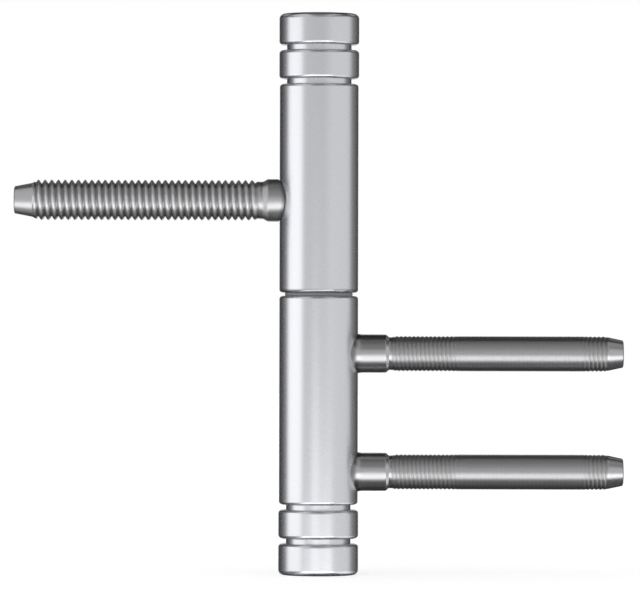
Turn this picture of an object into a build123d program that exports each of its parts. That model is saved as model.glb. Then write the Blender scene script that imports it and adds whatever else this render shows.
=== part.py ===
from build123d import *
import math
import os

os.makedirs("parts", exist_ok=True)

# Drill-in lift-off hinge for an overlay door, in millimetres.
# +Z runs up the hinge axis, and the origin is on that axis, halfway up the gap between the barrels.
# The leaf barrel is above the gap with its stud towards -X, and the frame barrel is below it with two
# studs towards +X.

# Barrels
barrel_diameter = 15.0
barrel_length = 39.7
barrel_rim_round = 0.6
frame_bore_diameter = 8.0
leaf_bore_diameter = 10.0

# Pin, bush and washer
pin_top_space = 2.0
pin_foot_space = 3.0
pin_top_chamfer = 1.2
pin_foot_chamfer = 0.5
bush_setback = 0.3
bush_below_pin_top = 1.4
bush_edge_chamfer = 0.25
running_clearance = 0.05
washer_inset = 1.05
washer_thickness = 0.6
washer_edge_chamfer = 0.1

# Finials, from the barrel outwards: neck, ring, neck, end ring
ring_overhang = 0.1
groove_depth = 1.45
inner_neck_height = 0.95
inner_ring_height = 5.5
outer_neck_height = 0.95
end_ring_height = 6.0
ring_edge_round = 0.7
end_rim_round = 1.0
finial_spigot_length = 5.0
spigot_chamfer = 0.4

# Studs, measured out from the hinge axis
stud_reach = 58.0
stud_spigot_diameter = 5.6
spigot_end_gap = 0.3
tip_end_chamfer = 0.25

# Leaf stud, set in from the gap end of its barrel, with a coarse thread
leaf_stud_inset = 17.55
leaf_collar_diameter = 8.1
leaf_collar_reach = 9.75
leaf_foot_round = 0.35
leaf_shoulder_length = 0.9
leaf_neck_diameter = 7.1
leaf_thread_diameter = 7.78
leaf_thread_root_diameter = 6.4
leaf_thread_pitch = 1.25
leaf_thread_turns = 34
leaf_thread_crest_width = 0.17
thread_flank_angle = 60.0
leaf_tip_base_diameter = 6.9
leaf_tip_end_diameter = 5.2
leaf_tip_length = 3.8

# Frame studs, set in from the two ends of their barrel, with a fine thread drawn as its crest cylinder
upper_frame_stud_inset = 10.95
lower_frame_stud_inset = 6.25
frame_collar_diameter = 7.32
frame_collar_reach = 12.85
frame_foot_length = 1.0
frame_foot_diameter = 9.2
frame_foot_sink = 0.15
frame_shoulder_length = 0.5
frame_neck_diameter = 6.3
frame_neck_length = 0.9
frame_thread_diameter = 6.7
frame_tip_base_diameter = 6.4
frame_tip_end_diameter = 5.2
frame_tip_length = 3.1

# Worked out from the sizes above
barrel_radius = barrel_diameter / 2
ring_radius = barrel_radius + ring_overhang
neck_radius = ring_radius - groove_depth
washer_radius = barrel_radius - washer_inset
gap_half = washer_thickness / 2
barrel_end = gap_half + barrel_length
leaf_bore_radius = leaf_bore_diameter / 2
frame_bore_radius = frame_bore_diameter / 2
pin_radius = frame_bore_radius
pin_top = barrel_end - finial_spigot_length - pin_top_space
pin_foot = -(barrel_end - finial_spigot_length - pin_foot_space)
bush_foot = gap_half + bush_setback
bush_top = pin_top - bush_below_pin_top
leaf_stud_height = gap_half + leaf_stud_inset
upper_frame_stud_height = -(gap_half + upper_frame_stud_inset)
lower_frame_stud_height = -(barrel_end - lower_frame_stud_inset)
leaf_thread_start = stud_reach - leaf_tip_length - leaf_thread_turns * leaf_thread_pitch
leaf_thread_middle = leaf_thread_start + leaf_thread_turns * leaf_thread_pitch / 2
leaf_thread_depth = (leaf_thread_diameter - leaf_thread_root_diameter) / 2
leaf_flank_width = leaf_thread_depth / math.tan(math.radians(thread_flank_angle))
leaf_ridge_base = leaf_thread_crest_width + 2 * leaf_flank_width
frame_thread_start = frame_collar_reach + frame_shoulder_length + frame_neck_length


def stud_plane(height, towards):
    """Plane through a stud's axis: local x runs out along the stud, local y runs up."""
    return Plane(origin=(0, 0, height), x_dir=(towards, 0, 0), z_dir=(0, -towards, 0))


def stud_axis(plane):
    """The stud's own axis, from the hinge axis outwards."""
    return Axis(plane.origin, plane.x_dir)


def half_section(start, end, start_radius, end_radius):
    """One stretch of a turned piece, from the axis up, in local x and y of the sketch under way."""
    Polygon((start, 0), (start, start_radius), (end, end_radius), (end, 0), align=None)


# Leaf barrel: turned tube over the pin, cross-drilled for the leaf stud's spigot
leaf_plane = stud_plane(leaf_stud_height, -1)
with BuildPart() as leaf_barrel:
    with BuildSketch(Plane.XY.offset(gap_half)):
        Circle(barrel_radius)
    extrude(amount=barrel_length)
    fillet(leaf_barrel.edges().filter_by(GeomType.CIRCLE), radius=barrel_rim_round)
    with BuildSketch(Plane.XY.offset(gap_half)):
        Circle(leaf_bore_radius)
    extrude(amount=barrel_length, mode=Mode.SUBTRACT)
    with BuildSketch(leaf_plane):
        half_section(0, barrel_diameter, stud_spigot_diameter / 2, stud_spigot_diameter / 2)
    revolve(axis=stud_axis(leaf_plane), mode=Mode.SUBTRACT)
leaf_barrel.part.label = "leaf_barrel"
export_step(leaf_barrel.part, "parts/leaf_barrel.step")

# Frame barrel: the same outside, bored to hold the pin, cross-drilled for two stud spigots
with BuildPart() as frame_barrel:
    with BuildSketch(Plane.XY.offset(-gap_half)):
        Circle(barrel_radius)
    extrude(amount=-barrel_length)
    fillet(frame_barrel.edges().filter_by(GeomType.CIRCLE), radius=barrel_rim_round)
    with BuildSketch(Plane.XY.offset(-gap_half)):
        Circle(frame_bore_radius)
    extrude(amount=-barrel_length, mode=Mode.SUBTRACT)
    for height in (upper_frame_stud_height, lower_frame_stud_height):
        with BuildSketch(stud_plane(height, 1)):
            half_section(0, barrel_diameter, stud_spigot_diameter / 2, stud_spigot_diameter / 2)
        revolve(axis=stud_axis(stud_plane(height, 1)), mode=Mode.SUBTRACT)
frame_barrel.part.label = "frame_barrel"
export_step(frame_barrel.part, "parts/frame_barrel.step")

# Hinge pin: pressed into the frame barrel, with a lead-in chamfer on the end that the leaf drops over
with BuildPart() as hinge_pin:
    with BuildSketch(Plane.XY.offset(pin_foot)):
        Circle(pin_radius)
    extrude(amount=pin_top - pin_foot)
    pin_rims = hinge_pin.edges().filter_by(GeomType.CIRCLE).sort_by(Axis.Z)
    chamfer(pin_rims[-1], length=pin_top_chamfer)
    chamfer(pin_rims[0], length=pin_foot_chamfer)
hinge_pin.part.label = "hinge_pin"
export_step(hinge_pin.part, "parts/hinge_pin.step")

# Bearing bush: plastic sleeve pressed into the leaf barrel, set back so that it never rubs the washer
with BuildPart() as bearing_bush:
    with BuildSketch(Plane.XY.offset(bush_foot)):
        Circle(leaf_bore_radius)
        Circle(pin_radius + running_clearance, mode=Mode.SUBTRACT)
    extrude(amount=bush_top - bush_foot)
    bush_rims = bearing_bush.edges().filter_by(GeomType.CIRCLE).group_by(SortBy.RADIUS)[-1]
    chamfer(bush_rims, length=bush_edge_chamfer)
bearing_bush.part.label = "bearing_bush"
export_step(bearing_bush.part, "parts/bearing_bush.step")

# Gap washer: loose ring on the pin that fills the gap and carries the leaf
with BuildPart() as gap_washer:
    with BuildSketch(Plane.XY.offset(-gap_half)):
        Circle(washer_radius)
        Circle(pin_radius + running_clearance, mode=Mode.SUBTRACT)
    extrude(amount=washer_thickness)
    washer_rims = gap_washer.edges().filter_by(GeomType.CIRCLE).group_by(SortBy.RADIUS)[-1]
    chamfer(washer_rims, length=washer_edge_chamfer)
gap_washer.part.label = "gap_washer"
export_step(gap_washer.part, "parts/gap_washer.step")


def finial(bore_radius, outwards):
    """Turned end piece: spigot in the barrel's bore, neck, ring, neck and end ring with a rounder rim."""
    seat = Plane(origin=(0, 0, outwards * barrel_end), x_dir=(1, 0, 0), z_dir=(0, -outwards, 0))
    outer_neck_at = inner_neck_height + inner_ring_height
    end_ring_at = outer_neck_at + outer_neck_height
    with BuildPart() as turned:
        with BuildSketch(seat) as section:
            with Locations((0, inner_neck_height)):
                Rectangle(ring_radius, inner_ring_height, align=(Align.MIN, Align.MIN))
            with Locations((0, end_ring_at)):
                Rectangle(ring_radius, end_ring_height, align=(Align.MIN, Align.MIN))
            rims = section.vertices().group_by(Axis.X)[-1].sort_by(Axis.Y)
            fillet(rims[:-1], radius=ring_edge_round)
            fillet(section.vertices().group_by(Axis.Y)[-1].sort_by(Axis.X)[-1], radius=end_rim_round)
            Rectangle(neck_radius, end_ring_at, align=(Align.MIN, Align.MIN))
            Rectangle(bore_radius, finial_spigot_length, align=(Align.MIN, Align.MAX))
        revolve(axis=Axis.Z)
        spigot_rim = turned.edges().filter_by(GeomType.CIRCLE).sort_by(Axis(seat.origin, seat.y_dir))[0]
        chamfer(spigot_rim, length=spigot_chamfer)
    return turned


# Finials: each is pressed into the end of its barrel
upper_finial = finial(leaf_bore_radius, 1)
upper_finial.part.label = "upper_finial"
export_step(upper_finial.part, "parts/upper_finial.step")

lower_finial = finial(frame_bore_radius, -1)
lower_finial.part.label = "lower_finial"
export_step(lower_finial.part, "parts/lower_finial.step")


def cope_to_barrel(plane):
    """Cut the foot of the collar under way to the barrel's round."""
    with Locations(plane.origin):
        Cylinder(barrel_radius, barrel_length, mode=Mode.SUBTRACT)


# Leaf stud's collar: its foot is coped to the barrel and rounded, its shoulder tapers to the neck
with BuildPart() as leaf_collar:
    with BuildSketch(leaf_plane):
        half_section(0, leaf_collar_reach, leaf_collar_diameter / 2, leaf_collar_diameter / 2)
        half_section(
            leaf_collar_reach,
            leaf_collar_reach + leaf_shoulder_length,
            leaf_collar_diameter / 2,
            leaf_neck_diameter / 2,
        )
    revolve(axis=stud_axis(leaf_plane))
    cope_to_barrel(leaf_plane)
    saddle = leaf_collar.faces().sort_by(stud_axis(leaf_plane))[0]
    fillet(saddle.edges(), radius=leaf_foot_round)

# Leaf stud: spigot in the barrel wall, collar, neck, coarse thread turned as rings, cone tip
with BuildPart() as leaf_stud:
    add(leaf_collar.part)
    with BuildSketch(leaf_plane):
        half_section(
            leaf_bore_radius + spigot_end_gap,
            leaf_collar_reach,
            stud_spigot_diameter / 2,
            stud_spigot_diameter / 2,
        )
        half_section(barrel_radius, leaf_thread_start, leaf_neck_diameter / 2, leaf_neck_diameter / 2)
        half_section(
            leaf_thread_start,
            stud_reach - leaf_tip_length,
            leaf_thread_root_diameter / 2,
            leaf_thread_root_diameter / 2,
        )
        with Locations((leaf_thread_middle, leaf_thread_root_diameter / 2)):
            with GridLocations(leaf_thread_pitch, 0, leaf_thread_turns, 1):
                Trapezoid(
                    leaf_ridge_base,
                    leaf_thread_depth,
                    thread_flank_angle,
                    align=(Align.CENTER, Align.MIN),
                )
        half_section(
            stud_reach - leaf_tip_length,
            stud_reach,
            leaf_tip_base_diameter / 2,
            leaf_tip_end_diameter / 2,
        )
    revolve(axis=stud_axis(leaf_plane))
    leaf_tip_rim = leaf_stud.edges().filter_by(GeomType.CIRCLE).sort_by(stud_axis(leaf_plane))[-1]
    chamfer(leaf_tip_rim, length=tip_end_chamfer)
leaf_stud.part.label = "leaf_stud"
export_step(leaf_stud.part, "parts/leaf_stud.step")


def flared_foot():
    """Section of the frame collars' foot, which flares in an arc until it dies out on the barrel's round."""
    flare_start = barrel_radius + frame_foot_length
    foot_radius = frame_foot_diameter / 2
    flare_end = math.sqrt((barrel_radius - frame_foot_sink) ** 2 - foot_radius**2)
    run = flare_start - flare_end
    rise = foot_radius - frame_collar_diameter / 2
    flare_radius = (run**2 + rise**2) / (2 * rise)
    with BuildLine() as outline:
        flare = RadiusArc((flare_end, foot_radius), (flare_start, foot_radius - rise), -flare_radius)
        Polyline(flare @ 1, (flare_start, 0), (flare_end, 0), flare @ 0)
    make_face(outline.edges())


# Frame studs: two alike, one above the other, with the fine thread drawn as its crest cylinder
for stud_name, height in (
    ("frame_stud_upper", upper_frame_stud_height),
    ("frame_stud_lower", lower_frame_stud_height),
):
    plane = stud_plane(height, 1)
    with BuildPart() as frame_stud:
        with BuildSketch(plane):
            flared_foot()
            half_section(0, frame_collar_reach, frame_collar_diameter / 2, frame_collar_diameter / 2)
            half_section(
                frame_collar_reach,
                frame_collar_reach + frame_shoulder_length,
                frame_collar_diameter / 2,
                frame_neck_diameter / 2,
            )
        revolve(axis=stud_axis(plane))
        cope_to_barrel(plane)
        with BuildSketch(plane):
            half_section(
                frame_bore_radius + spigot_end_gap,
                frame_collar_reach,
                stud_spigot_diameter / 2,
                stud_spigot_diameter / 2,
            )
            half_section(
                barrel_radius,
                frame_thread_start,
                frame_neck_diameter / 2,
                frame_neck_diameter / 2,
            )
            half_section(
                frame_thread_start,
                stud_reach - frame_tip_length,
                frame_thread_diameter / 2,
                frame_thread_diameter / 2,
            )
            half_section(
                stud_reach - frame_tip_length,
                stud_reach,
                frame_tip_base_diameter / 2,
                frame_tip_end_diameter / 2,
            )
        revolve(axis=stud_axis(plane))
        tip_rim = frame_stud.edges().filter_by(GeomType.CIRCLE).sort_by(stud_axis(plane))[-1]
        chamfer(tip_rim, length=tip_end_chamfer)
    frame_stud.part.label = stud_name
    export_step(frame_stud.part, f"parts/{stud_name}.step")
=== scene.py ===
import math

import bmesh
import bpy
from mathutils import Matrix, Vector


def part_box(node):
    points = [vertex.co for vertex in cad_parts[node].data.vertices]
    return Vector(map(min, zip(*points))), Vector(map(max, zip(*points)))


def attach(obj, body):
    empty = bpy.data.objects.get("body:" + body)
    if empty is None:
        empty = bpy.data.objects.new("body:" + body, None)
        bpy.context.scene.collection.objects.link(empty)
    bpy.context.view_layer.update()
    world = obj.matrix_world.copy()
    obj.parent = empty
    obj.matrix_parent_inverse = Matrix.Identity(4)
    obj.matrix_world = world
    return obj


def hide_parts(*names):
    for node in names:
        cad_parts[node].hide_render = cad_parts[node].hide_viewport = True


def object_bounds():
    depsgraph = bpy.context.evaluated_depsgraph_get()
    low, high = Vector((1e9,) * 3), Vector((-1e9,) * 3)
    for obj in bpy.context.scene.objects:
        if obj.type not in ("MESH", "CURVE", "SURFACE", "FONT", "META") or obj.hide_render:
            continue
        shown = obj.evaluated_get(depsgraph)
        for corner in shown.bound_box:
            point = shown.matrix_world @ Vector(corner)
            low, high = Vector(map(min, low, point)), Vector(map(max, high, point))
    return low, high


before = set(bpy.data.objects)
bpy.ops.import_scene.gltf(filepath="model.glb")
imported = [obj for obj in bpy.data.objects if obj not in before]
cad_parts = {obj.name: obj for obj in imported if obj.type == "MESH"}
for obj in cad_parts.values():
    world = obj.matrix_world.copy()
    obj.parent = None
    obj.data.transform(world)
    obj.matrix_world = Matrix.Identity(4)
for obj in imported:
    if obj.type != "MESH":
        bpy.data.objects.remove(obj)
cad_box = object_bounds()

# The barrels, drilled turned steel tubes 15 mm across, nickel-plated and brushed to a satin. The leaf's
# barrel stands on the frame's with a washer between them, and its rim over the gap gets painted shade, a
# darker band in the plating's colour. Both barrels keep the shape of the CAD solids.
MM = 0.001
MIX_FIRST_COLOUR = 6
MIX_SECOND_COLOUR = 7
MIX_RESULT = 2
POLISH_WANDER = 0.15
GRAIN_HEIGHT = 0.02 * MM
# Painted shade on the leaf barrel's rim over the gap: its middle, where it is full and where it is gone.
RIM_MIDDLE = 0.6 * MM
RIM_SHADE_FULL_TO = 0.32 * MM
RIM_SHADE_GONE_FROM = 0.5 * MM


def plated_steel(name, colour, roughness, grain_stretch, grain_depth):
    """Plated steel: a metal whose polish wanders a little, with fine grain along one direction."""
    material = bpy.data.materials.new(name)
    material.use_nodes = True
    nodes = material.node_tree.nodes
    links = material.node_tree.links
    shader = nodes["Principled BSDF"]
    shader.inputs["Base Color"].default_value = (*colour, 1.0)
    shader.inputs["Metallic"].default_value = 1.0
    place = nodes.new("ShaderNodeTexCoord")
    stretch = nodes.new("ShaderNodeMapping")
    stretch.inputs["Scale"].default_value = grain_stretch
    links.new(place.outputs["Object"], stretch.inputs["Vector"])
    grain = nodes.new("ShaderNodeTexNoise")
    grain.inputs["Scale"].default_value = 1.0
    grain.inputs["Detail"].default_value = 3.0
    links.new(stretch.outputs["Vector"], grain.inputs["Vector"])
    polish = nodes.new("ShaderNodeMapRange")
    polish.inputs["To Min"].default_value = roughness * (1 - POLISH_WANDER)
    polish.inputs["To Max"].default_value = roughness * (1 + POLISH_WANDER)
    links.new(grain.outputs["Fac"], polish.inputs["Value"])
    links.new(polish.outputs["Result"], shader.inputs["Roughness"])
    scratch = nodes.new("ShaderNodeBump")
    scratch.inputs["Strength"].default_value = grain_depth
    scratch.inputs["Distance"].default_value = GRAIN_HEIGHT
    links.new(grain.outputs["Fac"], scratch.inputs["Height"])
    links.new(scratch.outputs["Normal"], shader.inputs["Normal"])
    return material


def paint_shade(material, colour, share):
    """Paints shade into the material's colour: it turns to the given darker colour where the given share,
    from 0 to 1, says so.
    """
    nodes = material.node_tree.nodes
    base = nodes["Principled BSDF"].inputs["Base Color"]
    blend = nodes.new("ShaderNodeMix")
    blend.data_type = "RGBA"
    blend.inputs[MIX_FIRST_COLOUR].default_value = base.default_value
    blend.inputs[MIX_SECOND_COLOUR].default_value = (*colour, 1.0)
    material.node_tree.links.new(share, blend.inputs[0])
    material.node_tree.links.new(blend.outputs[MIX_RESULT], base)


def share_near(material, place, across, full, gone):
    """Share that is 1 up to the distance full from a line or plane through a place, and 0 past gone.

    The entries of across are 1 for the axes in which the distance is taken, and 0 for the others.
    """
    nodes = material.node_tree.nodes
    links = material.node_tree.links
    here = nodes.new("ShaderNodeTexCoord")
    flat = nodes.new("ShaderNodeMapping")
    flat.inputs["Location"].default_value = [-p * a for p, a in zip(place, across)]
    flat.inputs["Scale"].default_value = across
    links.new(here.outputs["Object"], flat.inputs["Vector"])
    distance = nodes.new("ShaderNodeVectorMath")
    distance.operation = "LENGTH"
    links.new(flat.outputs["Vector"], distance.inputs[0])
    share = nodes.new("ShaderNodeMapRange")
    share.interpolation_type = "SMOOTHSTEP"
    links.new(distance.outputs["Value"], share.inputs["Value"])
    share.inputs["From Min"].default_value = full
    share.inputs["From Max"].default_value = gone
    share.inputs["To Min"].default_value = 1.0
    share.inputs["To Max"].default_value = 0.0
    return share.outputs["Result"]


def finish_node(node, material):
    """Gives a carried-over CAD solid its finish."""
    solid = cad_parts[node]
    solid.data.materials.clear()
    solid.data.materials.append(material)


satin_nickel = plated_steel(
    "satin_nickel",
    colour=(0.72, 0.73, 0.76),
    roughness=0.26,
    grain_stretch=(900, 900, 5000),
    grain_depth=0.2,
)
# Painted shade: the plating turns to a darker colour in a band at the height of the leaf barrel's rim over
# the gap.
rim_shade = share_near(
    satin_nickel, place=(0, 0, RIM_MIDDLE), across=(0, 0, 1), full=RIM_SHADE_FULL_TO, gone=RIM_SHADE_GONE_FROM
)
paint_shade(satin_nickel, (0.47, 0.48, 0.5), rim_shade)
for barrel in ("leaf_barrel", "frame_barrel"):
    finish_node(barrel, satin_nickel)

# The finials, one turned steel piece at each end with two rings and two grooves, pressed into the barrel
# and plated like it.
for finial in ("upper_finial", "lower_finial"):
    finish_node(finial, satin_nickel)

# The leaf's stud, turned steel with a coarse rolled thread, zinc-plated. Its collar is coped to sit on the
# barrel, and a spigot behind it is pressed into a cross hole in the barrel's wall.
STUD_SEGMENTS = 72
ROUND_STEPS = 5
FOOT_ROUND = 0.35 * MM
SPIGOT_RADIUS = 2.8 * MM
EDGE_EASE = 0.1 * MM
TIP_BAND = 0.25 * MM
THREAD_ROWS = 12
FLANK_SHARES = (0.0, 0.2, 0.4, 0.6, 0.8, 1.0)
CREST_ROUNDING = 1.4
# Share of the pitch round the middle of the thread's painted shade within which that shade is full.
FULL_SHADE_SHARE = 0.05
WELD_DISTANCE = 0.002 * MM
SHARP_ANGLE = 35
STUD_GRAIN = (3000, 600, 600)
STUD_GRAIN_DEPTH = 0.06
ROLLING_SPREAD = 0.9
# Painted shade in the corner at the barrel: full out to the first distance from the hinge axis, gone past
# the second.
CORNER_SHADE_FULL_TO = 7.75 * MM
CORNER_SHADE_GONE_FROM = 8.4 * MM
barrel_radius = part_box("leaf_barrel")[1][0]


def on_barrel(y):
    """How far out the barrel's surface stands, at a distance y beside the hinge axis."""
    return math.sqrt(barrel_radius**2 - y**2)


def turned_blank(profile):
    """Lathe-turned shell from rings of (place, radius), open where a place is None.

    A place is a distance along the stud, or a function that gives it for a distance y beside the axis.
    """
    mesh = bmesh.new()
    last_ring = None
    for place, radius in profile:
        if place is None:
            last_ring = None
            continue
        ring = []
        for k in range(STUD_SEGMENTS if radius else 1):
            angle = 2 * math.pi * k / STUD_SEGMENTS
            y, z = radius * math.cos(angle), radius * math.sin(angle)
            ring.append(mesh.verts.new((place(y) if callable(place) else place, y, z)))
        if last_ring:
            for k in range(STUD_SEGMENTS):
                after = (k + 1) % STUD_SEGMENTS
                corners = [last_ring[k % len(last_ring)], ring[k % len(ring)]]
                if len(ring) > 1:
                    corners.append(ring[after])
                if len(last_ring) > 1:
                    corners.append(last_ring[after])
                mesh.faces.new(corners)
        last_ring = ring
    return mesh


def rounded_edge(start, end, centre):
    """Places and radii of a quarter round between two points of a profile."""
    points = []
    for k in range(ROUND_STEPS + 1):
        turn = math.pi / 2 * k / ROUND_STEPS
        points.append(
            (
                centre[0] + (start[0] - centre[0]) * math.cos(turn) + (end[0] - centre[0]) * math.sin(turn),
                centre[1] + (start[1] - centre[1]) * math.cos(turn) + (end[1] - centre[1]) * math.sin(turn),
            )
        )
    return points


def thread_nodes():
    """Node tree that winds a right-hand thread along X and joins it to the blank it is given."""
    tree = bpy.data.node_groups.new("rolled_thread", "GeometryNodeTree")
    inputs = {
        "Start": "Float",
        "End": "Float",
        "Pitch": "Float",
        "Crest Radius": "Float",
        "Root Radius": "Float",
        "Crest Width": "Float",
        "Flank Width": "Float",
        "Neck Radius": "Float",
        "Tip Radius": "Float",
        "Start Run-out": "Float",
        "End Run-out": "Float",
        "Deep Start": "Float",
        "Deep End": "Float",
        "Fade": "Float",
        "Middle Depth": "Float",
        "Shade Phase": "Float",
        "Segments": "Int",
        "Material": "Material",
    }
    tree.interface.new_socket("Blank", in_out="INPUT", socket_type="NodeSocketGeometry")
    for name, kind in inputs.items():
        tree.interface.new_socket(name, in_out="INPUT", socket_type=f"NodeSocket{kind}")
    tree.interface.new_socket("Stud", in_out="OUTPUT", socket_type="NodeSocketGeometry")
    sizes = tree.nodes.new("NodeGroupInput").outputs
    result = tree.nodes.new("NodeGroupOutput")

    def plug(value, socket):
        if isinstance(value, (int, float)):
            socket.default_value = value
        else:
            tree.links.new(value, socket)

    def maths(operation, *values):
        node = tree.nodes.new("ShaderNodeMath")
        node.operation = operation
        for value, socket in zip(values, node.inputs):
            plug(value, socket)
        return node.outputs[0]

    def ramp(value, from_min, from_max, to_min, to_max, kind="LINEAR"):
        node = tree.nodes.new("ShaderNodeMapRange")
        node.interpolation_type = kind
        for entry, socket in zip((value, from_min, from_max, to_min, to_max), node.inputs):
            plug(entry, socket)
        return node.outputs[0]

    columns = maths("ADD", sizes["Segments"], 1)
    turns = maths("CEIL", maths("DIVIDE", maths("SUBTRACT", sizes["End"], sizes["Start"]), sizes["Pitch"]))
    grid = tree.nodes.new("GeometryNodeMeshGrid")
    plug(maths("MULTIPLY", maths("ADD", turns, 2), THREAD_ROWS), grid.inputs["Vertices X"])
    plug(columns, grid.inputs["Vertices Y"])
    index = tree.nodes.new("GeometryNodeInputIndex").outputs[0]
    row = maths("FLOOR", maths("DIVIDE", maths("ADD", index, 0.5), columns))
    column = maths("SUBTRACT", index, maths("MULTIPLY", row, columns))
    turn = maths("FLOOR", maths("DIVIDE", maths("ADD", row, 0.5), THREAD_ROWS))
    corner = maths("SUBTRACT", row, maths("MULTIPLY", turn, THREAD_ROWS))
    round_share = maths("DIVIDE", column, sizes["Segments"])

    half_crest = maths("DIVIDE", sizes["Crest Width"], 2)
    phase = tree.nodes.new("GeometryNodeIndexSwitch")
    phase.data_type = "FLOAT"
    while len(phase.index_switch_items) < THREAD_ROWS:
        phase.index_switch_items.new()
    plug(corner, phase.inputs["Index"])
    going_down = [
        maths("ADD", half_crest, maths("MULTIPLY", sizes["Flank Width"], share)) for share in FLANK_SHARES
    ]
    going_up = [maths("SUBTRACT", sizes["Pitch"], place) for place in reversed(going_down)]
    for value, socket in zip(going_down + going_up, list(phase.inputs)[1:]):
        plug(value, socket)
    phase = phase.outputs[0]

    along = maths(
        "ADD",
        maths("ADD", maths("SUBTRACT", sizes["Start"], sizes["Pitch"]), phase),
        maths("MULTIPLY", sizes["Pitch"], maths("ADD", turn, round_share)),
    )
    x = maths("MINIMUM", maths("MAXIMUM", along, sizes["Start"]), sizes["End"])
    from_crest = maths("MINIMUM", phase, maths("SUBTRACT", sizes["Pitch"], phase))
    valley = maths("ADD", half_crest, sizes["Flank Width"])
    full_depth = maths("SUBTRACT", sizes["Crest Radius"], sizes["Root Radius"])
    down_flank = maths("POWER", ramp(from_crest, half_crest, valley, 0, 1), CREST_ROUNDING)
    depth = maths("MULTIPLY", full_depth, down_flank)
    past_start = maths("SUBTRACT", maths("SUBTRACT", x, sizes["Start"]), sizes["Deep Start"])
    past_end = maths("SUBTRACT", maths("SUBTRACT", sizes["End"], x), sizes["Deep End"])
    shallow = ramp(maths("MINIMUM", past_start, past_end), 0, sizes["Fade"], 0, 1, "SMOOTHSTEP")
    kept_depth = ramp(shallow, 0, 1, 1, sizes["Middle Depth"])
    full = maths("SUBTRACT", sizes["Crest Radius"], maths("MULTIPLY", depth, kept_depth))
    grown = ramp(maths("SUBTRACT", x, sizes["Start"]), 0, sizes["Start Run-out"], 0, 1, "SMOOTHSTEP")
    cut_off = ramp(maths("SUBTRACT", sizes["End"], x), 0, sizes["End Run-out"], 0, 1, "SMOOTHSTEP")
    bare = ramp(x, sizes["Start"], sizes["End"], sizes["Neck Radius"], sizes["Tip Radius"])
    radius = maths(
        "ADD", bare, maths("MULTIPLY", maths("SUBTRACT", full, bare), maths("MULTIPLY", grown, cut_off))
    )

    angle = maths("MULTIPLY", round_share, 2 * math.pi)
    wound = tree.nodes.new("ShaderNodeCombineXYZ")
    plug(x, wound.inputs["X"])
    plug(maths("MULTIPLY", radius, maths("COSINE", angle)), wound.inputs["Y"])
    plug(maths("MULTIPLY", radius, maths("SINE", angle)), wound.inputs["Z"])
    winding = tree.nodes.new("GeometryNodeSetPosition")
    plug(grid.outputs["Mesh"], winding.inputs["Geometry"])
    plug(wound.outputs[0], winding.inputs["Position"])
    rolled = tree.nodes.new("GeometryNodeCaptureAttribute")
    rolled.domain = "FACE"
    rolled.capture_items.new("BOOLEAN", "Rolled")
    plug(winding.outputs[0], rolled.inputs["Geometry"])
    rolled.inputs["Rolled"].default_value = True
    # Painted shade: a share that is 1 in the thread's roots, or at the shade phase where that is moved off
    # the root to darken one flank, and 0 at the crests. It is weaker where the thread is rolled shallow.
    thread_shade = tree.nodes.new("GeometryNodeStoreNamedAttribute")
    thread_shade.inputs["Name"].default_value = "thread_shade"
    plug(rolled.outputs[0], thread_shade.inputs["Geometry"])
    pitch_share = maths("DIVIDE", phase, sizes["Pitch"])
    from_shade_centre = maths("ABSOLUTE", maths("SUBTRACT", pitch_share, sizes["Shade Phase"]))
    nearest = maths("MINIMUM", from_shade_centre, maths("SUBTRACT", 1, from_shade_centre))
    shade_share = ramp(nearest, FULL_SHADE_SHARE, 0.5, 1, 0, "SMOOTHSTEP")
    plug(maths("MULTIPLY", shade_share, kept_depth), thread_shade.inputs["Value"])
    joined = tree.nodes.new("GeometryNodeJoinGeometry")
    plug(thread_shade.outputs[0], joined.inputs[0])
    plug(sizes["Blank"], joined.inputs[0])
    welded = tree.nodes.new("GeometryNodeMergeByDistance")
    plug(joined.outputs[0], welded.inputs["Geometry"])
    plug(WELD_DISTANCE, welded.inputs["Distance"])
    real = tree.nodes.new("GeometryNodeRealizeInstances")
    plug(welded.outputs[0], real.inputs[0])
    plated = tree.nodes.new("GeometryNodeSetMaterial")
    plug(real.outputs[0], plated.inputs["Geometry"])
    plug(rolled.outputs[1], plated.inputs["Selection"])
    plug(sizes["Material"], plated.inputs["Material"])
    plug(plated.outputs[0], result.inputs[0])
    return tree


def threaded_stud(node, towards, body, sizes, blank, blank_zinc):
    """Winds the thread onto the blank, sets the stud in its barrel and puts it in the CAD stud's place."""
    low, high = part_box(node)
    raw = bpy.data.meshes.new(node + "_blank")
    blank.to_mesh(raw)
    blank.free()
    raw.materials.append(blank_zinc)
    turned = bpy.data.objects.new(node + "_blank", raw)
    bpy.context.scene.collection.objects.link(turned)
    winding = turned.modifiers.new("rolled_thread", "NODES")
    winding.node_group = stud_thread
    sockets = {item.name: item.identifier for item in stud_thread.interface.items_tree}
    for name, value in sizes.items():
        winding[sockets[name]] = value
    winding[sockets["Segments"]] = STUD_SEGMENTS
    evaluated = turned.evaluated_get(bpy.context.evaluated_depsgraph_get())
    mesh = bpy.data.meshes.new_from_object(evaluated)
    turned.modifiers.remove(winding)
    bpy.data.objects.remove(turned)
    shape = bmesh.new()
    shape.from_mesh(mesh)
    bmesh.ops.recalc_face_normals(shape, faces=shape.faces)
    for vertex in shape.verts:
        x, y, z = vertex.co
        vertex.co = (towards * x, towards * y, z + (low[2] + high[2]) / 2)
    shape.to_mesh(mesh)
    shape.free()
    mesh.shade_smooth()
    mesh.set_sharp_from_angle(angle=math.radians(SHARP_ANGLE))
    stud = bpy.data.objects.new(node + "_threaded", mesh)
    bpy.context.scene.collection.objects.link(stud)
    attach(stud, body)
    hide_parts(node)


def rounded_foot(radius):
    """Rings of a foot that follows the barrel's round and is rounded at its edge."""
    inside = radius - FOOT_ROUND
    rings = rounded_edge(start=(0, inside), end=(FOOT_ROUND, radius), centre=(FOOT_ROUND, inside))
    return [(lambda y, set_out=set_out: on_barrel(y) + set_out, r) for set_out, r in rings]


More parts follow.
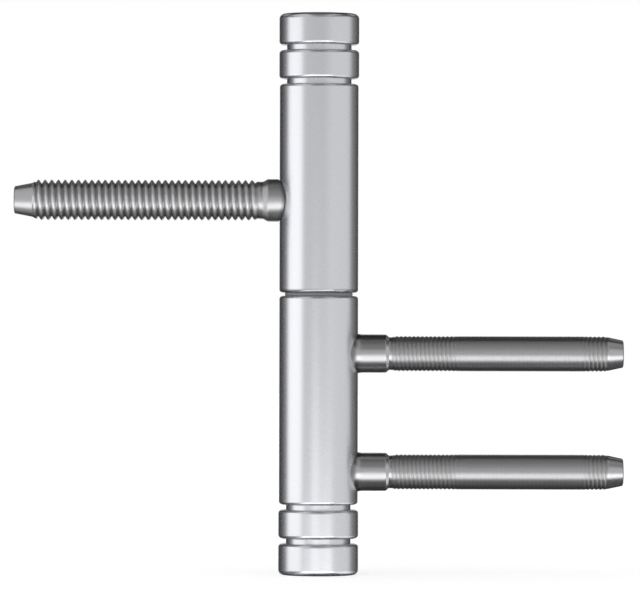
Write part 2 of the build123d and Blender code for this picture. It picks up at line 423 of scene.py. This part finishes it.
def collar(radius, reach, shoulder, neck_radius, spigot_start, foot):
    """Profile of the spigot, the foot that stands on the barrel and the collar, up to the neck."""
    return [
        (spigot_start, 0),
        (spigot_start, SPIGOT_RADIUS),
        (on_barrel, SPIGOT_RADIUS),
        *foot,
        (reach - 3 * EDGE_EASE, radius),
        (reach - EDGE_EASE, radius),
        (reach + EDGE_EASE, radius + (neck_radius - radius) * EDGE_EASE / shoulder),
        (reach + shoulder - EDGE_EASE, neck_radius + (radius - neck_radius) * EDGE_EASE / shoulder),
        (reach + shoulder + EDGE_EASE, neck_radius),
    ]


def cone_tip(start, start_radius, band_drop, end, end_radius):
    """Profile of the lead-in cone, from a narrow band at its base to its eased end."""
    base, base_radius = start + TIP_BAND, start_radius - band_drop
    slope = (end_radius - base_radius) / (end - base)
    return [
        (start, start_radius),
        (base, base_radius),
        (base + EDGE_EASE, base_radius + slope * EDGE_EASE),
        (end - 1.5 * EDGE_EASE, end_radius),
        (end, end_radius - 3 * EDGE_EASE),
        (end, 0),
    ]


def spread_along_x(material, amount):
    """Spreads the material's reflections along X, as turning and rolling marks around that axis do."""
    nodes = material.node_tree.nodes
    links = material.node_tree.links
    shader = nodes["Principled BSDF"]
    shader.inputs["Anisotropic"].default_value = amount
    along = nodes.new("ShaderNodeCombineXYZ")
    along.inputs["X"].default_value = 1.0
    turned = nodes.new("ShaderNodeVectorTransform")
    turned.vector_type = "VECTOR"
    turned.convert_from = "OBJECT"
    turned.convert_to = "WORLD"
    links.new(along.outputs["Vector"], turned.inputs["Vector"])
    links.new(turned.outputs["Vector"], shader.inputs["Tangent"])


def turned_zinc(name, colour, roughness, shade_colour):
    """Zinc plating on a turned surface, with painted shade in the corner at the barrel."""
    material = plated_steel(name, colour, roughness, STUD_GRAIN, STUD_GRAIN_DEPTH)
    # Painted shade: a darker colour near the barrel, where the stud's foot meets it.
    corner = share_near(
        material, place=(0, 0, 0), across=(1, 1, 0), full=CORNER_SHADE_FULL_TO, gone=CORNER_SHADE_GONE_FROM
    )
    paint_shade(material, shade_colour, corner)
    return material


def threaded_zinc(name, colour, roughness, shade_colour):
    """Zinc plating on a rolled thread, its reflections spread along the stud, with painted shade in its
    roots.
    """
    material = plated_steel(name, colour, roughness, STUD_GRAIN, STUD_GRAIN_DEPTH)
    spread_along_x(material, ROLLING_SPREAD)
    # Painted shade that the thread tree stores, full in the roots or, where the shade phase moves it, on
    # one flank.
    thread_shade = material.node_tree.nodes.new("ShaderNodeAttribute")
    thread_shade.attribute_name = "thread_shade"
    paint_shade(material, shade_colour, thread_shade.outputs["Fac"])
    return material


stud_thread = thread_nodes()
# The second colour of each plating below is painted shade, in the collar's corner at the barrel and in the
# thread's roots.
collar_zinc = turned_zinc(
    "collar_zinc", colour=(0.56, 0.56, 0.57), roughness=0.33, shade_colour=(0.27, 0.27, 0.275)
)
rolled_zinc = threaded_zinc(
    "rolled_zinc", colour=(0.79, 0.79, 0.8), roughness=0.42, shade_colour=(0.48, 0.48, 0.485)
)

leaf_low, leaf_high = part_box("leaf_stud")
leaf_thread = {
    "Start": 11.14 * MM,
    "End": 54.2 * MM,
    "Pitch": 1.27 * MM,
    "Crest Radius": 3.86 * MM,
    "Root Radius": 3.17 * MM,
    "Crest Width": 0.1 * MM,
    "Flank Width": 0.53 * MM,
    "Neck Radius": 3.55 * MM,
    "Tip Radius": 3.45 * MM,
    "Start Run-out": 1.6 * MM,
    "End Run-out": 0.7 * MM,
    "Deep Start": 20.0 * MM,
    "Deep End": 20.0 * MM,
    "Fade": 5.0 * MM,
    "Middle Depth": 1.0,
    # painted shade centred a little off the root, so that one flank comes out lighter
    "Shade Phase": 0.42,
    "Material": rolled_zinc,
}
leaf_radius = (leaf_high[2] - leaf_low[2]) / 2
leaf_blank = [
    *collar(
        radius=leaf_radius,
        reach=9.75 * MM,
        shoulder=0.9 * MM,
        neck_radius=leaf_thread["Neck Radius"],
        spigot_start=5.3 * MM,
        foot=rounded_foot(leaf_radius),
    ),
    (leaf_thread["Start"], leaf_thread["Neck Radius"]),
    (None, None),
    *cone_tip(
        start=leaf_thread["End"],
        start_radius=leaf_thread["Tip Radius"],
        band_drop=0.2 * MM,
        end=-leaf_low[0],
        end_radius=2.6 * MM,
    ),
]
threaded_stud("leaf_stud", -1, "leaf", leaf_thread, turned_blank(leaf_blank), collar_zinc)

# The frame's two studs, alike and slimmer, of turned steel and zinc-plated too. Their fine thread is rolled
# deep only near its two ends, and the collar flares out to a foot that dies out on the barrel's round.
FLARE_STEPS = 12
FLARE_LENGTH = 1.0 * MM
FLARE_RADIUS = 4.6 * MM
FLARE_SINK = 0.15 * MM
TUCK = 0.05 * MM


def flared_foot(radius):
    """Rings of a foot that flares towards the barrel in an arc and dies out on the barrel's round."""
    start = barrel_radius + FLARE_LENGTH
    run = start - math.sqrt((barrel_radius - FLARE_SINK) ** 2 - FLARE_RADIUS**2)
    rise = FLARE_RADIUS - radius
    arc = (run**2 + rise**2) / (2 * rise)
    rings = []
    for k in range(FLARE_STEPS + 1):
        back = run * (1 - k / FLARE_STEPS)
        ring_radius = radius + arc - math.sqrt(arc**2 - back**2)
        rings.append((lambda y, place=start - back: max(place, on_barrel(y) - TUCK), ring_radius))
    return rings


# The second colour of each plating below is painted shade, in the collar's corner at the barrel and in the
# thread's roots.
bright_zinc = turned_zinc(
    "bright_zinc", colour=(0.5, 0.5, 0.51), roughness=0.25, shade_colour=(0.24, 0.24, 0.245)
)
fine_rolled_zinc = threaded_zinc(
    "fine_rolled_zinc", colour=(0.47, 0.47, 0.48), roughness=0.4, shade_colour=(0.4, 0.4, 0.405)
)

frame_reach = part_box("frame_stud_upper")[1][0]
frame_thread = {
    "Start": 13.9 * MM,
    "End": 54.9 * MM,
    "Pitch": 0.8 * MM,
    "Crest Radius": 3.34 * MM,
    "Root Radius": 3.2 * MM,
    "Crest Width": 0.1 * MM,
    "Flank Width": 0.3 * MM,
    "Neck Radius": 3.15 * MM,
    "Tip Radius": 3.2 * MM,
    "Start Run-out": 0.9 * MM,
    "End Run-out": 0.6 * MM,
    "Deep Start": 10.5 * MM,
    "Deep End": 2.5 * MM,
    "Fade": 3.0 * MM,
    "Middle Depth": 0.12,
    "Shade Phase": 0.5,
    "Material": fine_rolled_zinc,
}
frame_radius = 3.66 * MM
frame_blank = [
    *collar(
        radius=frame_radius,
        reach=12.85 * MM,
        shoulder=0.5 * MM,
        neck_radius=frame_thread["Neck Radius"],
        spigot_start=4.3 * MM,
        foot=flared_foot(frame_radius),
    ),
    (frame_thread["Start"], frame_thread["Neck Radius"]),
    (None, None),
    *cone_tip(
        start=frame_thread["End"],
        start_radius=frame_thread["Tip Radius"],
        band_drop=0.02 * MM,
        end=frame_reach,
        end_radius=2.6 * MM,
    ),
]
for node in ("frame_stud_upper", "frame_stud_lower"):
    threaded_stud(node, 1, "frame", frame_thread, turned_blank(frame_blank), bright_zinc)

# The pin, ground steel, pressed into the frame's barrel and standing up in the leaf's. It is seen only when
# the leaf is lifted off, and keeps the shape of the CAD solid.
ground_steel = plated_steel(
    "ground_steel",
    colour=(0.62, 0.62, 0.63),
    roughness=0.22,
    grain_stretch=(900, 900, 6000),
    grain_depth=0.1,
)
finish_node("hinge_pin", ground_steel)

# The washer in the gap, which carries the leaf, and the bush that is pressed into the leaf's barrel and
# turns on the pin. Both are turned from acetal, and keep the shape of the CAD solids.
ACETAL_ROUGHNESS = 0.45
MOTTLE_SCALE = 600.0
MOTTLE_SHADE = 0.9


def acetal(name, colour):
    """Plain acetal: matt, with a faint mottle from handling."""
    material = bpy.data.materials.new(name)
    material.use_nodes = True
    nodes = material.node_tree.nodes
    links = material.node_tree.links
    shader = nodes["Principled BSDF"]
    shader.inputs["Roughness"].default_value = ACETAL_ROUGHNESS
    place = nodes.new("ShaderNodeTexCoord")
    mottle = nodes.new("ShaderNodeTexNoise")
    mottle.inputs["Scale"].default_value = MOTTLE_SCALE
    links.new(place.outputs["Object"], mottle.inputs["Vector"])
    shade = nodes.new("ShaderNodeMix")
    shade.data_type = "RGBA"
    shade.inputs[MIX_FIRST_COLOUR].default_value = (*[c * MOTTLE_SHADE for c in colour], 1.0)
    shade.inputs[MIX_SECOND_COLOUR].default_value = (*colour, 1.0)
    links.new(mottle.outputs["Fac"], shade.inputs[0])
    links.new(shade.outputs[MIX_RESULT], shader.inputs["Base Color"])
    return material


finish_node("gap_washer", acetal("grey_acetal", (0.5, 0.5, 0.51)))
finish_node("bearing_bush", acetal("natural_acetal", (0.8, 0.8, 0.77)))

# The camera, square on to the hinge as the photograph shows it. What it sees follows from the photograph's
# scale and from the pixels at which the hinge axis and the gap between the barrels lie in it.
PHOTO_WIDTH = 640
PHOTO_HEIGHT = 591
PIXELS_PER_MM = 5.253
AXIS_PIXEL = 318.75
GAP_PIXEL = 294.3
CAMERA_DISTANCE = 1.1
PHOTO_LEAN = 0.14

camera_data = bpy.data.cameras.new("camera")
camera_data.sensor_width = 36.0
camera_data.lens = camera_data.sensor_width * CAMERA_DISTANCE / (PHOTO_WIDTH / PIXELS_PER_MM * MM)
camera = bpy.data.objects.new("camera", camera_data)
bpy.context.scene.collection.objects.link(camera)
camera.location = (
    (PHOTO_WIDTH / 2 - AXIS_PIXEL) / PIXELS_PER_MM * MM,
    -CAMERA_DISTANCE,
    (GAP_PIXEL - PHOTO_HEIGHT / 2) / PIXELS_PER_MM * MM,
)
camera.rotation_euler = (math.radians(90), math.radians(-PHOTO_LEAN), 0)
bpy.context.scene.camera = camera
bpy.context.scene.view_settings.view_transform = "Standard"

# The studio, a white floor under the hinge and a white surround, both plain white to the camera. Their
# soft light falls on the floor and the plastic pieces, while the metal reflects the light tent alone.
FLOOR_SIZE = 4.0
FLOOR_GLOW = 0.55
SURROUND_LIGHT = 0.6
BACKGROUND_RAYS = ("Is Camera Ray", "Is Glossy Ray", "Is Transmission Ray")


def seen_directly(nodes, links):
    """1 for the rays that show the background, and 0 for the rays that only light things."""
    path = nodes.new("ShaderNodeLightPath")
    total = path.outputs[BACKGROUND_RAYS[0]]
    for ray in BACKGROUND_RAYS[1:]:
        either = nodes.new("ShaderNodeMath")
        either.operation = "MAXIMUM"
        links.new(total, either.inputs[0])
        links.new(path.outputs[ray], either.inputs[1])
        total = either.outputs[0]
    return total


world = bpy.data.worlds.new("white_surround")
bpy.context.scene.world = world
world.use_nodes = True
background = world.node_tree.nodes["Background"]
strength = world.node_tree.nodes.new("ShaderNodeMapRange")
strength.inputs["To Min"].default_value = SURROUND_LIGHT
strength.inputs["To Max"].default_value = 1.0
world.node_tree.links.new(
    seen_directly(world.node_tree.nodes, world.node_tree.links), strength.inputs["Value"]
)
world.node_tree.links.new(strength.outputs["Result"], background.inputs["Strength"])
background.inputs["Color"].default_value = (1, 1, 1, 1)

floor_mesh = bpy.data.meshes.new("floor")
floor_level = cad_box[0][2]
floor_mesh.from_pydata(
    [
        (x * FLOOR_SIZE / 2, y * FLOOR_SIZE / 2, floor_level)
        for x, y in ((-1, -1), (1, -1), (1, 1), (-1, 1))
    ],
    [],
    [(0, 1, 2, 3)],
)
floor = bpy.data.objects.new("floor", floor_mesh)
bpy.context.scene.collection.objects.link(floor)
floor_paint = bpy.data.materials.new("floor_white")
floor_paint.use_nodes = True
floor_nodes = floor_paint.node_tree.nodes
floor_links = floor_paint.node_tree.links
floor_shader = floor_nodes["Principled BSDF"]
floor_shader.inputs["Base Color"].default_value = (0.8, 0.8, 0.8, 1.0)
floor_shader.inputs["Roughness"].default_value = 0.9
floor_shader.inputs["Emission Color"].default_value = (1, 1, 1, 1)
glow = floor_nodes.new("ShaderNodeMath")
glow.operation = "MULTIPLY"
glow.inputs[1].default_value = FLOOR_GLOW
floor_links.new(seen_directly(floor_nodes, floor_links), glow.inputs[0])
floor_links.new(glow.outputs[0], floor_shader.inputs["Emission Strength"])
floor_mesh.materials.append(floor_paint)
floor.visible_glossy = False

# The light tent, a shell of cloth round the hinge that is seen only in reflections. Lamps behind the cloth
# make it bright to the left and low in front, and dark cards hang above, below and behind. Each area is
# laid over the ones before it.
TENT_RADIUS = 0.32
TENT_STEP = 4
DIM_CLOTH = 0.3
ALL_ROUND = (-180, 180)
EITHER_SIDE = (-90, 90)
tent_areas = (
    # level with the hinge, in front, to the right and to the left
    {"azimuths": (-36, 36), "elevations": (-6, 12), "soft": 16, "glow": 0.66},
    {"azimuths": (40, 84), "elevations": (-20, 20), "soft": 27, "glow": 0.78},
    {"azimuths": (60, 94), "elevations": (-45, 45), "soft": 18, "glow": 0.78},
    {"azimuths": (-92, -56), "elevations": (-12, 12), "soft": 18, "glow": 1.35},
    # above, in strips that run from front to back
    {"azimuths": (-105, 105), "elevations": (26, 90), "sideways": (-50, -24), "soft": 13, "glow": 0.7},
    {"azimuths": (-105, 105), "elevations": (26, 90), "sideways": (20, 28), "soft": 10, "glow": 0.5},
    {"azimuths": ALL_ROUND, "elevations": (30, 90), "sideways": (-90, -62), "soft": 13, "glow": 0.15},
    {"azimuths": ALL_ROUND, "elevations": (34, 90), "sideways": (40, 58), "soft": 10, "glow": 0.15},
    {"azimuths": ALL_ROUND, "elevations": (30, 90), "sideways": (74, 90), "soft": 13, "glow": 1.4},
    # below, in strips that run from front to back
    {"azimuths": ALL_ROUND, "elevations": (-90, -30), "sideways": (46, 90), "soft": 13, "glow": 1.2},
    {"azimuths": ALL_ROUND, "elevations": (-90, -30), "sideways": (-90, -50), "soft": 13, "glow": 0.2},
    # behind, dark cloth on either side of a light belt, and a thin light strip over each
    {"azimuths": (156, 180), "elevations": (-90, 90), "soft": 60, "glow": 0.05},
    {"azimuths": (-180, -142), "elevations": (-90, 90), "soft": 44, "glow": 0.05},
    {"azimuths": (106, 180), "elevations": (30, 82), "soft": 12, "glow": 0.03},
    {"azimuths": (-180, -106), "elevations": (30, 82), "soft": 12, "glow": 0.03},
    {"azimuths": (170, 180), "elevations": (-22, 22), "soft": 9, "glow": 0.9},
    {"azimuths": (-180, -170), "elevations": (-22, 22), "soft": 9, "glow": 0.9},
    {"azimuths": (122, 148), "elevations": (36, 44), "soft": 9, "glow": 0.4},
    {"azimuths": (-148, -122), "elevations": (36, 44), "soft": 9, "glow": 0.4},
    # straight below and above
    {"azimuths": ALL_ROUND, "elevations": (-90, -66), "sideways": (-40, -26), "soft": 12, "glow": 0.4},
    {"azimuths": (-100, 100), "elevations": (64, 90), "sideways": (-12, 10), "soft": 12, "glow": 0.17},
    {"azimuths": (-100, 100), "elevations": (-90, -66), "sideways": (-12, 12), "soft": 12, "glow": 0.12},
    # low in front, and the strips that the studs reflect
    {"azimuths": (-40, 22), "elevations": (-42, -33), "soft": 13, "glow": 1.7},
    {"azimuths": (-12, 12), "elevations": (-36, -21), "soft": 15, "glow": 2.0},
    {"azimuths": (-14, -4), "elevations": (-24, -12), "soft": 11, "glow": 1.4},
    {"azimuths": (-80, 80), "elevations": (-44, -20), "sideways": (-36, -24), "soft": 10, "glow": 2.0},
    {"azimuths": ALL_ROUND, "elevations": (-90, -50), "sideways": (20, 34), "soft": 10, "glow": 0.1},
    {"azimuths": (-80, 80), "elevations": (-34, -20), "sideways": (22, 32), "soft": 10, "glow": 2.6},
)


def eased(value, low, high, soft):
    """1 from low to high, easing to 0 over a soft width outside them."""
    outside = max(low - value, value - high, 0)
    share = max(0, 1 - outside / soft)
    return share * share * (3 - 2 * share)


def cloth_glow(azimuth, elevation):
    """Glow of the cloth in a direction. Azimuth 0 is the camera's side, and it grows to the right."""
    leaning = math.sin(math.radians(azimuth)) * math.cos(math.radians(elevation))
    sideways = math.degrees(math.asin(leaning))
    glow = DIM_CLOTH
    for area in tent_areas:
        soft = area["soft"]
        share = (
            eased(azimuth, *area["azimuths"], soft)
            * eased(elevation, *area["elevations"], soft)
            * eased(sideways, *area.get("sideways", EITHER_SIDE), soft)
        )
        glow += (area["glow"] - glow) * share
    return glow


tent_places = []
tent_glows = []
columns = 360 // TENT_STEP
rows = 180 // TENT_STEP
for j in range(rows + 1):
    elevation = -90 + j * TENT_STEP
    for i in range(columns + 1):
        azimuth = -180 + i * TENT_STEP
        a, e = math.radians(azimuth), math.radians(elevation)
        tent_places.append(
            (
                math.sin(a) * math.cos(e) * TENT_RADIUS,
                -math.cos(a) * math.cos(e) * TENT_RADIUS,
                math.sin(e) * TENT_RADIUS,
            )
        )
        tent_glows.append(cloth_glow(azimuth, elevation))
tent_faces = []
for j in range(rows):
    for i in range(columns):
        corner = j * (columns + 1) + i
        tent_faces.append((corner, corner + 1, corner + columns + 2, corner + columns + 1))
tent_mesh = bpy.data.meshes.new("light_tent")
tent_mesh.from_pydata(tent_places, [], tent_faces)
cloth = tent_mesh.attributes.new("glow", "FLOAT", "POINT")
cloth.data.foreach_set("value", tent_glows)
tent_paint = bpy.data.materials.new("tent_cloth")
tent_paint.use_nodes = True
tent_nodes = tent_paint.node_tree.nodes
tent_nodes.clear()
level = tent_nodes.new("ShaderNodeAttribute")
level.attribute_name = "glow"
emission = tent_nodes.new("ShaderNodeEmission")
tent_output = tent_nodes.new("ShaderNodeOutputMaterial")
tent_paint.node_tree.links.new(level.outputs["Fac"], emission.inputs["Strength"])
tent_paint.node_tree.links.new(emission.outputs[0], tent_output.inputs["Surface"])
tent_paint.cycles.emission_sampling = "NONE"
tent_mesh.materials.append(tent_paint)
tent = bpy.data.objects.new("light_tent", tent_mesh)
bpy.context.scene.collection.objects.link(tent)
tent.visible_camera = False
tent.visible_diffuse = False
tent.visible_shadow = False
tent.visible_transmission = False
